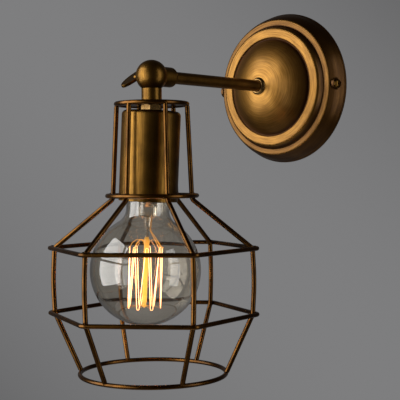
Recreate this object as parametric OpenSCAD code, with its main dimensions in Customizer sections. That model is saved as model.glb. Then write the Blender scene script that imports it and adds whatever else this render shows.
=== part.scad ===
// Wall light: a caged globe lamp hung from a ball swivel on a straight arm.
// The wall is the plane Y = 0, the arm runs along -Y and +Z is up.

/* [Backplate] */
// Radius of the backplate at the wall
plate_r = 61.2; // [58:0.2:66]
// Radius of the outer step
step_r = 54.9; // [53.5:0.1:56]
// Height of the outer step above the wall
step_h = 15; // [14:0.2:17]
// Radius where the raised ring starts
ring_out_r = 47.9; // [46.5:0.1:48.5]
// Inner radius of the raised ring
ring_in_r = 40.4; // [39.5:0.1:41]
// Height of the raised ring above the wall
ring_h = 20.6; // [19.5:0.2:22]
// Radius of the ball that the dome is cut from
dome_ball_r = 56.7; // [55:0.1:59]
// Height of the dome's top above the wall
dome_h = 35.7; // [34.5:0.1:38]
// Sheet thickness of the backplate
plate_wall = 1.2; // [0.8:0.1:1.4]

/* [Side screws] */
// Height of the side screws above the wall
side_screw_h = 9.3; // [8.5:0.1:10]
// Thread diameter of the side screws
side_screw_d = 4; // [3:0.5:5]
// Head diameter of the side screws
side_head_d = 7.2; // [6.5:0.1:7.6]
// Head height of the side screws
side_head_h = 2.5; // [2:0.1:3]
// Length of the side screws under the head
side_screw_l = 8; // [7:0.5:12]

/* [Wall bracket] */
// Thickness of the strap
strap_t = 2; // [1.5:0.1:2.5]
// Height of the strap
strap_w = 20; // [18:1:24]
// Width of the bent end tabs
tab_w = 14; // [12:0.5:15]
// Distance between the two wall screw slots
slot_spacing = 60; // [56:1:64]
// End to end length of each slot
slot_l = 14; // [12:0.5:16]
// Width of each slot
slot_w = 4.5; // [4:0.1:5.5]
// Diameter of the hole for the house cable
entry_d = 11; // [9:0.5:12]

/* [Terminals] */
// Length of the terminal block
block_l = 24; // [22:1:28]
// Width of the terminal block
block_w = 13; // [12:0.5:14]
// Height of the terminal block
block_h = 11; // [10:0.5:12]
// Poles in the terminal block
block_poles = 3; // [2:1:3]
// Thread diameter of the earth screw
earth_screw_d = 4; // [3:0.5:4]

/* [Arm] */
// Distance from the wall to the ball's centre
reach = 156; // [145:1:200]
// Outer diameter of the arm tube
arm_d = 9; // [8:0.1:10]
// Bore of the arm tube
arm_bore = 6.6; // [5:0.1:7]
// How far the arm tube reaches in behind the dome
arm_tail = 11; // [10:0.5:13]
// How far the arm tube goes into the ball's collar
arm_insert = 10; // [9:0.5:10]
// Diameter of the ferrule at the dome
ferrule_d = 14; // [13:0.2:16]
// Thickness of the ferrule
ferrule_t = 2.6; // [2:0.1:3]
// Width across the flats of the lock nut
arm_nut_af = 13; // [13:0.5:15]
// Thickness of the lock nut
arm_nut_h = 3; // [2.5:0.1:4]

/* [Ball swivel] */
// Radius of the ball
ball_r = 11.4; // [11:0.1:12]
// Wall of the hollow ball
ball_wall = 2; // [1.8:0.1:2.2]
// Distance of the joint face from the ball's centre
seam_offset = 2.3; // [2:0.1:2.6]
// Gap between the two halves
seam_gap = 0.4; // [0.3:0.05:0.5]
// Diameter of the collar and of the post
neck_d = 14.6; // [14:0.1:15]
// Distance from the ball's centre to the collar's end
collar_l = 21.2; // [21:0.1:24]
// Rounding of the collar's end
collar_round = 2.4; // [1:0.1:2.6]
// Radius of the boss round the clamping screw
boss_r = 3.6; // [3.4:0.1:3.7]
// Thread diameter of the clamping screw
clamp_d = 4; // [3.5:0.1:4.4]

/* [Thumb screw] */
// Length of the blade
blade_l = 28; // [26:0.5:29]
// Width of the blade along the screw
blade_w = 12; // [11:0.5:13]
// Thickness of the blade
blade_t = 2.4; // [2:0.1:3]
// Diameter of the hub between the blade and the ball
hub_d = 5.6; // [5.4:0.1:6.2]
// Angle of the blade below the arm's line
blade_angle = 32; // [0:1:90]

/* [Cage] */
// Diameter of the upright wires
wire_d = 3.5; // [3:0.1:4]
// Diameter of the ring and hexagon bars
bar_d = 3.2; // [2.8:0.1:3.6]
// Number of upright wires
wire_n = 6; // [6:1:6]
// Turn of the cage about the lamp's axis
cage_turn = 6.8; // [0:0.2:20]
// Radius of the top ring
top_r = 25.5; // [25:0.1:27]
// Radius of the wires inside the neck ring
neck_wire_r = 28.7; // [28:0.1:30]
// Radius of the wires inside the hexagons
hex_wire_r = 72; // [66:0.5:78]
// Outward bow of the wires between the hexagons
wire_bow = 1.2; // [0.4:0.1:2]
// Radius of the bottom ring
bottom_r = 52.6; // [48:0.2:56]
// Bend radius of the wires
wire_bend = 4; // [3:0.5:6]
// Depth of the top ring below the ball's centre
top_z = 20.3; // [19.8:0.1:20.6]
// Depth of the neck ring
neck_z = 86; // [84:0.5:88]
// Depth of the upper hexagon
upper_z = 123.8; // [121:0.2:127]
// Depth of the lower hexagon
lower_z = 171; // [168:0.5:175]
// Depth of the bottom ring
bottom_z = 213.8; // [208:0.2:220]
// Thickness of the disc in the top ring
disc_t = 1.2; // [1:0.1:1.4]

/* [Lamp cup] */
// Outer diameter of the cup
cup_d = 42.4; // [42:0.1:44]
// Depth of the cup's rim below the ball's centre
cup_rim_z = 90; // [89.5:0.5:92]
// Sheet thickness of the cup
cup_wall = 1; // [0.8:0.1:1.2]
// Rounding of the cup's top edge
cup_round = 3; // [2:0.1:4]
// Lean of the lamp on its threaded tube, in degrees
lamp_lean = 2.5; // [0:0.1:2.5]
// Direction of the lean, in degrees from +X
lean_toward = 222; // [0:1:360]

/* [Threaded tube and nuts] */
// Diameter of the threaded tube
tube_d = 10; // [9.8:0.1:10.2]
// Bore of the threaded tube
tube_bore = 7.6; // [7.2:0.1:7.8]
// Width across the flats of the nuts
nut_af = 14; // [13.5:0.5:15]
// Thickness of the nut under the disc
cage_nut_h = 3.9; // [3.5:0.1:4]
// Thickness of the nut inside the cup
cup_nut_h = 3; // [2.5:0.1:3.4]

/* [Lamp holder] */
// Outer diameter of the holder's body
holder_d = 38; // [37:0.2:39]
// Height of the holder's domed cap
holder_cap_l = 19; // [18:0.5:20]
// Distance from the holder's top to its centre contact
contact_drop = 32.2; // [31.5:0.1:33]
// Outer diameter of the screw shell
shell_d = 27.6; // [27.4:0.1:28]
// Sheet thickness of the screw shell
shell_wall = 0.5; // [0.4:0.05:0.6]

/* [Bulb] */
// Diameter of the globe
globe_d = 80; // [78:1:82]
// Diameter of the glass neck at the cup's rim
neck_glass_d = 31; // [30:0.2:32]
// Thickness of the glass
glass_wall = 0.9; // [0.7:0.1:1.1]
// Overall length of the bulb
bulb_l = 118; // [117:0.2:119]
// Diameter of the bulb's cap
cap_d = 26.4; // [26.2:0.05:26.5]
// Length of the cap's shell
cap_l = 21.5; // [21:0.1:22]
// Height of the insulator and contact at the cap's end
tip_l = 3.4; // [3.2:0.1:3.6]
// Strands in the filament
strand_n = 14; // [8:2:16]
// Thickness of the filament's coil
strand_d = 0.8; // [0.5:0.1:0.9]
// Radius of the filament cage
filament_r = 12; // [10:0.5:13]
// Height of the filament's upper turns above the globe's centre
filament_top = 16.5; // [14:0.5:18]
// Depth of the filament's lower turns below the globe's centre
filament_low = 27.5; // [24:0.5:29]

/* [Cables] */
// Diameter of the lamp cable
cable_d = 2.4; // [2:0.1:2.6]
// Diameter of the earth lead
earth_d = 1.8; // [1.4:0.1:2]
// Thickness of the earth eyelets
eyelet_t = 0.8; // [0.6:0.1:1]

/* [Hidden] */
$fn = 96;

// Finish colours
bronze = "#8a6a3c";
dark_bronze = "#4a371f";
steel = "#b9bcc0";
brass = "#c9a24a";
white_plastic = "#e8e6df";
black_plastic = "#2a2826";
earth_green = "#5f8a3a";
clear_glass = [0.85, 0.88, 0.86, 0.35];
tungsten = "#ffb24d";

// Clearances
slip = 0.05;
free = 0.3;
seat = 0.1;
eps = 0.01;

// Backplate
arm_r = arm_d / 2;
dome_c = dome_h - dome_ball_r;
dome_base_r = ring_in_r - 2.1;
function dome_at(r) = dome_c + sqrt(dome_ball_r * dome_ball_r - r * r);
groove_p = [ring_in_r - 1.3, dome_at(dome_base_r) - 1.1];
lip_h = 1.4;
wall_slope = (plate_r - 0.6 - step_r) / (step_h - lip_h - 0.5);
function wall_at(h) = plate_r - 0.6 - wall_slope * (h - lip_h - 0.5) + 0.55;
seat_x = wall_at(side_screw_h) - 0.1;
seat_pad_t = 1.4;

// Wall bracket
tab_x = wall_at(side_screw_h + tab_w / 4) - plate_wall - 1.6;
tab_end_h = side_screw_h + 4.2;
block_x = -slot_spacing / 2 + slot_l / 2 + 1.2 + block_w / 2;
earth_x = (entry_d / 2 + slot_spacing / 2 - slot_l / 2) / 2;
screw_eyelet_r = 3.6;
arm_eyelet_r = 7.3;
leg_gap = 1.6;
leg_w = 3.2;
leg_h = 4;

// Arm
ferrule_y = dome_at(ferrule_d / 2);
arm_in_y = dome_h - plate_wall - arm_tail;
inner_face_y = dome_at(arm_nut_af / 2 + 1.5) - plate_wall;
washer_t = 1;
arm_eyelet_y = inner_face_y - seat - washer_t - slip;
arm_nut_y = arm_eyelet_y - eyelet_t - slip;
arm_socket = collar_l - arm_insert;

// Ball swivel, measured from the ball's centre
cavity_r = ball_r - ball_wall;
arm_face = -seam_offset + seam_gap / 2;
lamp_face = -seam_offset - seam_gap / 2;
flat_x = -ball_r + 0.6;
friction_t = seam_gap + 0.5;
spring_t = 0.6;
neck_r = neck_d / 2;
post_end = top_z - disc_t / 2;
thread_floor = ball_r - 2.6;
channel_x = -ball_r * 0.404;
channel_r = cable_d / 2 + 0.45;
chamber_top = ball_r + free + 1.3;
tube_top = post_end - 2.9;
blade_x = flat_x - spring_t - seat - blade_w / 2;

// Cage
contact_d = (wire_d + bar_d) / 2 + seat;
neck_ring_r = neck_wire_r + contact_d;
wire_break = 2.5;
nut_top_z = top_z + disc_t / 2;
wire_angles = [for (i = [0 : wire_n - 1]) cage_turn + 30 + i * 360 / wire_n];

// Lamp
lean_z = nut_top_z;
cup_top_z = nut_top_z + cage_nut_h + 0.5;
cup_nut_z = cup_top_z + cup_wall;
holder_top_z = cup_nut_z + cup_nut_h + 0.2;
holder_split_z = holder_top_z + holder_cap_l;
globe_r = globe_d / 2;
bulb_top_z = holder_top_z + contact_drop;
globe_z = bulb_top_z + bulb_l - globe_r;
cap_top_z = bulb_top_z + tip_l;
cap_end_z = cap_top_z + cap_l;
shell_r = shell_d / 2;
cap_r = cap_d / 2;
cap_wall = 0.5;
cap_step = 2.8;
insulator_r = cap_r * 0.606;
contact_r = cap_r * 0.348;
holder_r = holder_d / 2;
holder_in_r = holder_r - 2;
chamber_r = holder_r * 0.526;
holder_end_z = cap_end_z + 1.5;
shell_end_z = holder_end_z - 1;
shell_top_z = cap_top_z - 1;
neck_glass_r = neck_glass_d / 2;
tube_end_z = holder_top_z + holder_cap_l * 0.58;
terminal_x = holder_r * 0.474;
contact_z = tip_l - bulb_top_z;
neck_top = globe_z - cap_end_z;
shoulder_z = globe_z - holder_end_z - 0.6;
glass_gap = 1.2;
stem_top = neck_top + 4 - seat;
press_r = 5.4;
rod_r = 1.1;
bead_z = filament_top + 4;
bead_r = 2.3;
stem_span = stem_top - bead_z - 2;
press_z = bead_z + 2 + stem_span / 2;
hook_d = 0.5;
turn_r = 0.9;
lead_d = 0.7;
lead_turn = 30;

// Unit vector of a 2D or 3D vector
function unit(v) = v / norm(v);

// Points of the arc that rounds the corner b between a and c
function corner(a, b, c, r, n = 6) =
    let (u = unit(a - b), v = unit(c - b), w = 180 - acos(max(-1, min(1, u * v))))
    r <= 0 || w < 0.5 ? [b] :
    let (h = (180 - w) / 2, m = b + unit(u + v) * r / sin(h))
    let (p = b + u * r / tan(h) - m, q = b + v * r / tan(h) - m)
    [for (i = [0 : n]) m + p * sin(w * (1 - i / n)) / sin(w) + q * sin(w * i / n) / sin(w)];

// Open outline through [x, y, rounding] corners
function rounded(k, n = 6) = [
    for (i = [0 : len(k) - 1])
    let (b = [k[i][0], k[i][1]])
    each (i == 0 || i == len(k) - 1 ? [b] :
        corner([k[i - 1][0], k[i - 1][1]], b, [k[i + 1][0], k[i + 1][1]], k[i][2], n))
];

// The same corners moved t to the left of the direction of travel
function side_step(k, t) = [
    for (i = [0 : len(k) - 1])
    let (b = [k[i][0], k[i][1]])
    let (a = i > 0 ? [k[i - 1][0], k[i - 1][1]] : b, c = i < len(k) - 1 ? [k[i + 1][0], k[i + 1][1]] : b)
    let (d1 = i > 0 ? unit(b - a) : unit(c - b), d2 = i < len(k) - 1 ? unit(c - b) : unit(b - a))
    let (n1 = [-d1[1], d1[0]], n2 = [-d2[1], d2[0]], turn = d1[0] * d2[1] - d1[1] * d2[0])
    let (m = (n1 + n2) * t / (1 + n1 * n2))
    [b[0] + m[0], b[1] + m[1], k[i][2] <= 0 ? 0 : max(0.15, k[i][2] + (turn > 0 ? -t : t))]
];

function reversed(v) = [for (i = [len(v) - 1 : -1 : 0]) v[i]];

// Points of an arc
function arc(c, r, a0, a1, n) = [for (i = [0 : n]) let (a = a0 + (a1 - a0) * i / n) c + r * [cos(a), sin(a)]];

// Smooth curve through hand-chosen points
function spline(p, n) = [
    for (i = [0 : len(p) - 2])
    let (a = p[max(i - 1, 0)], b = p[i], c = p[i + 1], d = p[min(i + 2, len(p) - 1)])
    for (j = [0 : i == len(p) - 2 ? n : n - 1])
    let (t = j / n)
    (2 * b + (c - a) * t + (2 * a - 5 * b + 4 * c - d) * t * t + (3 * b - a - 3 * c + d) * t * t * t) / 2
];

// Directions along a path, and side vectors carried along it without twist
function heading(p) = [for (i = [0 : len(p) - 1]) unit(p[min(i + 1, len(p) - 1)] - p[max(i - 1, 0)])];
function first_side(t) = unit(cross(t, abs(t[2]) < 0.9 ? [0, 0, 1] : [1, 0, 0]));
function carried(t, i = 1, s = []) =
    let (list = len(s) == 0 ? [first_side(t[0])] : s)
    i >= len(t) ? list :
    carried(t, i + 1, concat(list, [unit(list[i - 1] - t[i] * (list[i - 1] * t[i]))]));

// Round tube of triangles swept along a path, open or closed on itself
module swept(p, d, sides, closed = false) {
    n = len(p);
    t = closed ? [for (i = [0 : n - 1]) unit(p[(i + 1) % n] - p[(i + n - 1) % n])] : heading(p);
    s = closed ? [for (i = [0 : n - 1]) [0, 0, 1]] : carried(t);
    rings = [
        for (i = [0 : n - 1])
        for (j = [0 : sides - 1])
        p[i] + (s[i] * cos(360 * j / sides) + cross(t[i], s[i]) * sin(360 * j / sides)) * d / 2
    ];
    walls = [
        for (i = [0 : closed ? n - 1 : n - 2])
        for (j = [0 : sides - 1])
        let (a = i * sides + j, b = i * sides + (j + 1) % sides)
        let (c = (i + 1) % n * sides + j, e = (i + 1) % n * sides + (j + 1) % sides)
        each [[a, c, b], [b, c, e]]
    ];
    start = [for (j = [1 : sides - 2]) [0, j, j + 1]];
    end = [for (j = [1 : sides - 2]) [(n - 1) * sides, (n - 1) * sides + j + 1, (n - 1) * sides + j]];
    polyhedron(points = rings, faces = closed ? walls : concat(start, walls, end));
}

module hex_prism(af, h, bore) {
    difference() {
        cylinder(r = af / 2 / cos(30), h = h, $fn = 6);
        translate([0, 0, -eps])
            cylinder(r = bore, h = h + 2 * eps);
    }
}

module washer(r_out, r_in, t) {
    difference() {
        cylinder(r = r_out, h = t);
        translate([0, 0, -eps])
            cylinder(r = r_in, h = t + 2 * eps);
    }
}

// Children turned so that their +Z points away from the wall
module off_wall() {
    rotate([90, 0, 0]) children();
}

// Children turned so that their +Z points along +X
module along_x() {
    rotate([0, 90, 0]) children();
}

// Children placed from the ball's centre
module at_ball() {
    translate([0, -reach, 0]) children();
}

// Point of the leaning lamp axis at a depth below the ball's centre
function lamp_axis(depth) =
    let (l = depth - lean_z, out = l * sin(lamp_lean))
    [out * cos(lean_toward), out * sin(lean_toward), -lean_z - l * cos(lamp_lean)];

// Children placed on the leaning lamp axis
module on_lamp() {
    at_ball()
        translate([0, 0, -lean_z])
            rotate([0, 0, lean_toward])
                rotate([0, -lamp_lean, 0])
                    rotate([0, 0, -lean_toward])
                        translate([0, 0, lean_z])
                            children();
}

// Backplate outline from the wall edge to the arm hole
plate_line = concat(
    [
        [plate_r, 0, 0],
        [plate_r, lip_h, 0.5],
        [plate_r - 0.6, lip_h + 0.5, 0.3],
        [(plate_r + step_r) / 2 + 0.55, (lip_h + step_h) / 2 + 0.6, 20],
        [step_r, step_h, 1.3],
        [ring_out_r + 2.3, step_h + 0.3, 1],
        [ring_out_r, ring_h - 1.2, 1.4],
        [ring_in_r, ring_h + 0.4, 0.6],
        [groove_p[0], groove_p[1], 0.4]
    ],
    [for (i = [0 : 11]) let (a = asin(dome_base_r / dome_ball_r) * (1 - i / 11) + asin((arm_r + slip) / dome_ball_r) * i / 11)
        [dome_ball_r * sin(a), dome_c + dome_ball_r * cos(a), 0]]
);

module backplate() {
    outer = rounded(plate_line);
    inner = rounded(side_step(plate_line, plate_wall));
    color(bronze)
        difference() {
            union() {
                off_wall()
                    rotate_extrude()
                        polygon(concat(outer, reversed(
                            [for (q = inner) [max(q[0], arm_r + slip), max(q[1], 0)]])));
                for (s = [0, 180])
                    rotate([0, s, 0])
                        seat_pad();
            }
            for (s = [0, 180])
                rotate([0, s, 0])
                    translate([seat_x, -side_screw_h, 0])
                        along_x()
                            cylinder(d = side_head_d + 2 * free, h = 6);
            translate([0, -side_screw_h, 0])
                along_x()
                    translate([0, 0, -plate_r])
                        cylinder(d = side_screw_d + 0.4, h = 2 * plate_r);
        }
}

module seat_pad() {
    translate([seat_x - seat_pad_t, -side_screw_h, 0])
        along_x()
            cylinder(d = side_head_d + 2.4, h = seat_pad_t + 0.6);
}

module cover_screws() {
    color(dark_bronze)
        for (s = [0, 180])
            rotate([0, s, 0])
                translate([seat_x, -side_screw_h, 0])
                    along_x()
                        pan_screw(side_screw_d, side_head_d, side_head_h, side_screw_l);
}

// Screw with its head above Z = 0 and its thread below
module pan_screw(d, head_d, head_h, l) {
    dome = rounded([[0, head_h, 0], [head_d / 2 - 0.4, head_h, head_h * 0.7], [head_d / 2, 0, 0]]);
    difference() {
        union() {
            rotate_extrude()
                polygon(concat([[0, 0]], dome));
            translate([0, 0, -l])
                cylinder(d = d, h = l + eps);
        }
        for (a = [0, 90])
            rotate([0, 0, a])
                translate([-head_d * 0.28, -0.45, head_h - 1.4])
                    cube([head_d * 0.56, 0.9, 3]);
    }
}

module wall_bracket() {
    color(steel)
        difference() {
            translate([strap_t - tab_x, -strap_t, -strap_w / 2])
                cube([2 * (tab_x - strap_t), strap_t, strap_w]);
            for (s = [-1, 1])
                translate([s * slot_spacing / 2, eps, 0])
                    off_wall()
                        slot();
            translate([0, eps, 0])
                off_wall()
                    cylinder(d = entry_d, h = strap_t + 2 * eps);
            translate([earth_x, eps, 0])
                off_wall()
                    cylinder(d = earth_screw_d + 2 * slip, h = strap_t + 2 * eps);
        }
}

// Ends of the strap's sheet, bent away from the wall, with the side screws' threaded holes
module bracket_tabs() {
    color(steel)
        difference() {
            for (s = [0, 180])
                rotate([0, s, 0])
                    translate([tab_x - strap_t, 0, 0])
                        tab();
            translate([-tab_x - eps, -side_screw_h, 0])
                along_x()
                    cylinder(d = side_screw_d + 2 * slip, h = 2 * tab_x + 2 * eps);
        }
}

// One end tab with a rounded end
module tab() {
    straight = tab_end_h - tab_w / 2;
    along_x() {
        translate([-tab_w / 2, -straight, 0])
            cube([tab_w, straight, strap_t]);
        translate([0, -straight, 0])
            cylinder(d = tab_w, h = strap_t);
    }
}

// Slot along X, cut up from Z = 0
module slot() {
    h = strap_t + 2 * eps;
    translate([-(slot_l - slot_w) / 2, -slot_w / 2, 0])
        cube([slot_l - slot_w, slot_w, h]);
    for (s = [-1, 1])
        translate([s * (slot_l - slot_w) / 2, 0, 0])
            cylinder(d = slot_w, h = h);
}

module earth_screw() {
    color(brass)
        translate([earth_x, -strap_t - eyelet_t - 2 * slip, 0])
            off_wall()
                pan_screw(earth_screw_d, 7, 2.4, strap_t + eyelet_t);
}

// Places children over each pole of the terminal block, both entry sides
module at_poles() {
    pitch = block_l / block_poles;
    for (i = [0 : block_poles - 1])
        for (s = [-1, 1])
            translate([block_x + s * block_w / 4, -strap_t, (i + 0.5) * pitch - block_l / 2])
                children();
}

module terminal_block() {
    pitch = block_l / block_poles;
    color(white_plastic)
        difference() {
            translate([block_x - block_w / 2, -strap_t - block_h, -block_l / 2])
                cube([block_w, block_h, block_l]);
            at_poles()
                off_wall()
                    translate([0, 0, block_h - 6])
                        cylinder(d = 4, h = 7, $fn = 32);
            for (i = [0 : block_poles - 1])
                translate([block_x - block_w / 2 - eps, -strap_t - 4, (i + 0.5) * pitch - block_l / 2])
                    along_x()
                        cylinder(d = 3.4, h = block_w + 2 * eps, $fn = 32);
            for (i = [1 : block_poles - 1])
                translate([block_x - block_w / 2 - eps, -strap_t - block_h - eps, i * pitch - block_l / 2 - 0.7])
                    cube([block_w + 2 * eps, 3, 1.4]);
        }
}

module terminal_screws() {
    color(steel)
        at_poles()
            off_wall()
                translate([0, 0, block_h - 6])
                    difference() {
                        cylinder(d = 4 - 2 * slip, h = 4.5, $fn = 32);
                        translate([-3, -0.4, 3.6])
                            cube([6, 0.8, 2]);
                    }
}

module arm_tube() {
    color(bronze)
        translate([0, -arm_in_y, 0])
            off_wall()
                difference() {
                    cylinder(d = arm_d, h = reach - arm_in_y - arm_socket);
                    translate([0, 0, -eps])
                        cylinder(d = arm_bore, h = reach);
                }
}

module arm_ferrule() {
    r = ferrule_d / 2;
    top = ferrule_y + ferrule_t;
    color(brass)
        off_wall()
            rotate_extrude()
                polygon(concat(
                    [[arm_r + slip, dome_at(arm_r) + seat], [r - 0.2, dome_at(r) + seat]],
                    rounded([[r, ferrule_y + 0.5, 0], [r, top - 1, 0.7], [r - 1.6, top, 0.6], [arm_r + slip, top, 0]])
                ));
}

module arm_washer() {
    color(steel)
        translate([0, -inner_face_y + seat, 0])
            rotate([-90, 0, 0])
                washer(arm_nut_af / 2 + 1.5, arm_r + slip, washer_t);
}

module arm_nut() {
    color(brass)
        translate([0, -arm_nut_y, 0])
            rotate([-90, 0, 0])
                hex_prism(arm_nut_af, arm_nut_h, arm_r + slip);
}

// Outline of a collar or post with its outer end rounded
module neck(l, round_end, bore) {
    rotate_extrude()
        polygon(concat([[bore, 0]], rounded([[neck_r, 0, 0], [neck_r, l, round_end], [bore, l, 0]])));
}

// The half of space beyond a plane x = face, towards s
module beyond(face, s) {
    translate([s > 0 ? face : face - 60, -30, -30])
        cube([60, 60, 60]);
}

// Ball about the origin whose poles lie on the joint's axis
module ball(r) {
    along_x() sphere(r = r);
}

// Arm half of the ball, with the collar towards the wall
module ball_arm_half() {
    color(bronze)
        at_ball()
            difference() {
                union() {
                    intersection() {
                        ball(ball_r);
                        beyond(arm_face, 1);
                    }
                    rotate([-90, 0, 0])
                        neck(collar_l, collar_round, 0);
                }
                difference() {
                    ball(ball_r + free);
                    beyond(arm_face, 1);
                }
                intersection() {
                    difference() {
                        ball(cavity_r);
                        translate([-ball_r, 0, 0])
                            along_x()
                                cylinder(r = boss_r, h = 2 * ball_r);
                    }
                    beyond(arm_face - eps, 1);
                }
                translate([arm_face - eps, 0, 0])
                    along_x()
                        cylinder(r = boss_r + slip, h = (friction_t - seam_gap) / 2);
                translate([arm_face, 0, 0])
                    along_x()
                        cylinder(d = clamp_d + 2 * slip, h = thread_floor - arm_face);
                translate([0, arm_socket - slip, 0])
                    rotate([-90, 0, 0])
                        cylinder(r = arm_r + slip, h = collar_l);
                translate([0, boss_r + 1.5, 0])
                    rotate([-90, 0, 0])
                        cylinder(d = arm_bore, h = collar_l);
            }
}

// Lamp half of the ball, with the post down to the cage
module ball_lamp_half() {
    color(bronze)
        at_ball()
            difference() {
                union() {
                    intersection() {
                        ball(ball_r);
                        beyond(lamp_face, -1);
                        beyond(flat_x, 1);
                    }
                    translate([0, 0, -post_end])
                        cylinder(r = neck_r, h = post_end - 6);
                }
                difference() {
                    ball(ball_r + free);
                    beyond(lamp_face, -1);
                }
                intersection() {
                    difference() {
                        ball(cavity_r);
                        translate([-ball_r, 0, 0])
                            along_x()
                                cylinder(r = boss_r, h = 2 * ball_r);
                    }
                    beyond(lamp_face + eps, -1);
                }
                translate([lamp_face + eps, 0, 0])
                    rotate([0, -90, 0])
                        cylinder(r = boss_r + slip, h = (friction_t - seam_gap) / 2);
                translate([-ball_r, 0, 0])
                    along_x()
                        cylinder(d = clamp_d + 0.5, h = ball_r);
                translate([channel_x, 0, -tube_top])
                    cylinder(r = channel_r, h = tube_top - 5);
                translate([0, 0, -post_end - eps])
                    cylinder(d = tube_d + 0.5, h = post_end - chamber_top);
            }
}

module friction_washer() {
    color(black_plastic)
        at_ball()
            translate([-seam_offset - friction_t / 2 + slip, 0, 0])
                along_x()
                    washer(boss_r - slip, clamp_d / 2 + 0.25, friction_t - 2 * slip);
}

module spring_washer() {
    color(steel)
        at_ball()
            translate([flat_x - spring_t, 0, 0])
                along_x()
                    washer(boss_r - 0.3, clamp_d / 2 + slip, spring_t - slip);
}

module thumb_screw() {
    hub_x = flat_x - spring_t - slip;
    hub_l = 2.2;
    thread_end = thread_floor - 1;
    color(bronze)
        at_ball()
            rotate([blade_angle, 0, 0])
                union() {
                    translate([hub_x - hub_l, 0, 0])
                        along_x()
                            cylinder(d = hub_d, h = hub_l);
                    translate([hub_x - eps, 0, 0])
                        along_x()
                            cylinder(d = clamp_d, h = thread_end - hub_x);
                    translate([blade_x, 0, -blade_t / 2])
                        linear_extrude(blade_t)
                            polygon([for (i = [0 : 47]) [blade_w / 2 * cos(i * 7.5), blade_l / 2 * sin(i * 7.5)]]);
                }
}

module threaded_tube() {
    color(brass)
        on_lamp()
            translate([0, 0, -tube_end_z])
                washer(tube_d / 2, tube_bore / 2, tube_end_z - tube_top);
}

module cage_disc() {
    color(dark_bronze)
        at_ball()
            translate([0, 0, -nut_top_z])
                washer(top_r - bar_d / 2 - slip, tube_d / 2 + 0.25, disc_t);
}

// Round bar bent into a ring
module ring(r, z) {
    color(bronze)
        at_ball()
            translate([0, 0, -z])
                rotate_extrude()
                    translate([r, 0])
                        circle(d = bar_d, $fn = 48);
}

// Round bar bent into a hexagon that wraps the outside of the wires
module hexagon(z) {
    path = [
        for (a = wire_angles)
        each [for (q = arc(hex_wire_r * [cos(a), sin(a)], contact_d, a - 30, a + 30, 5)) [q[0], q[1], -z]]
    ];
    color(bronze)
        at_ball()
            swept(path, bar_d, 12, true);
}

// Corners of one upright wire, as distance from the axis, height and bend radius
neck_corner = [neck_wire_r, -neck_z - wire_break];
top_centre = [top_r, -top_z];
bottom_centre = [bottom_r, -bottom_z];
wire_start = top_centre + unit(neck_corner - top_centre) * (bar_d / 2 + seat);
wire_end = bottom_centre + unit([hex_wire_r, -lower_z] - bottom_centre) * (bar_d / 2 + seat);
wire_line = [
    [wire_start[0], wire_start[1], 0],
    [neck_corner[0], neck_corner[1], wire_bend],
    [hex_wire_r, -upper_z, wire_bend],
    [hex_wire_r + wire_bow, -(upper_z + lower_z) / 2, 150],
    [hex_wire_r, -lower_z, wire_bend],
    [wire_end[0], wire_end[1], 0]
];

// One upright wire of the cage
module cage_wire(i) {
    color(bronze)
        at_ball()
            rotate([0, 0, wire_angles[i]])
                swept([for (q = rounded(wire_line, 5)) [q[0], 0, q[1]]], wire_d, 12);
}

module cage_nut() {
    color(brass)
        at_ball()
            translate([0, 0, -nut_top_z - cage_nut_h])
                rotate([0, 0, cage_turn])
                    hex_prism(nut_af, cage_nut_h, tube_d / 2 + 0.25);
}

module lamp_cup() {
    r = cup_d / 2;
    line = [
        [tube_d / 2 + slip, -cup_top_z, 0],
        [r, -cup_top_z, cup_round],
        [r, -cup_rim_z, 0]
    ];
    color(bronze)
        on_lamp()
            rotate_extrude()
                polygon(concat(rounded(line), reversed(rounded(side_step(line, -cup_wall)))));
}

module cup_nut() {
    color(brass)
        on_lamp()
            translate([0, 0, -cup_nut_z - cup_nut_h])
                hex_prism(nut_af, cup_nut_h, tube_d / 2 + slip);
}

// Domed upper part of the lamp holder, screwed on the threaded tube
module holder_cap() {
    line = [
        [tube_d / 2 + slip, -holder_top_z, 0],
        [holder_r * 0.42, -holder_top_z, 0.6],
        [holder_r * 0.45, -holder_top_z - holder_cap_l * 0.26, 2],
        [holder_r, -holder_top_z - holder_cap_l * 0.47, 3],
        [holder_r, -holder_split_z, 0]
    ];
    color(black_plastic)
        on_lamp()
            rotate_extrude()
                polygon(concat(
                    rounded(line),
                    [[holder_in_r, -holder_split_z], [holder_in_r, -holder_top_z - holder_cap_l * 0.63]],
                    [[tube_d / 2 + slip, -holder_top_z - holder_cap_l / 2]]
                ));
}

// Insulating body that carries the contacts and the screw shell
module holder_body() {
    color(white_plastic)
        on_lamp()
            difference() {
                union() {
                    translate([0, 0, -holder_end_z])
                        cylinder(r = holder_r, h = holder_end_z - holder_split_z - slip);
                    translate([0, 0, -holder_split_z - slip - eps])
                        cylinder(r = holder_in_r - 0.2, h = 2);
                }
                translate([0, 0, -holder_end_z - eps])
                    cylinder(r = shell_r + slip, h = holder_end_z - shell_top_z + eps);
                translate([0, 0, -shell_top_z - eps])
                    cylinder(r = chamber_r, h = shell_top_z + contact_z + eps);
                for (s = [-1, 1])
                    translate([s * terminal_x, 0, -holder_split_z - 3])
                        cylinder(d = 3 + 2 * slip, h = 8, $fn = 32);
                translate([0, 0, -bulb_top_z - 1])
                    cylinder(d = cable_d + 0.6, h = bulb_top_z - holder_split_z + 4, $fn = 32);
            }
}

// Thin threaded sleeve that the bulb screws into
module holder_shell() {
    color(brass)
        on_lamp()
            translate([0, 0, -shell_end_z])
                washer(shell_r, shell_r - shell_wall, shell_end_z - shell_top_z - slip);
}

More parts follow.
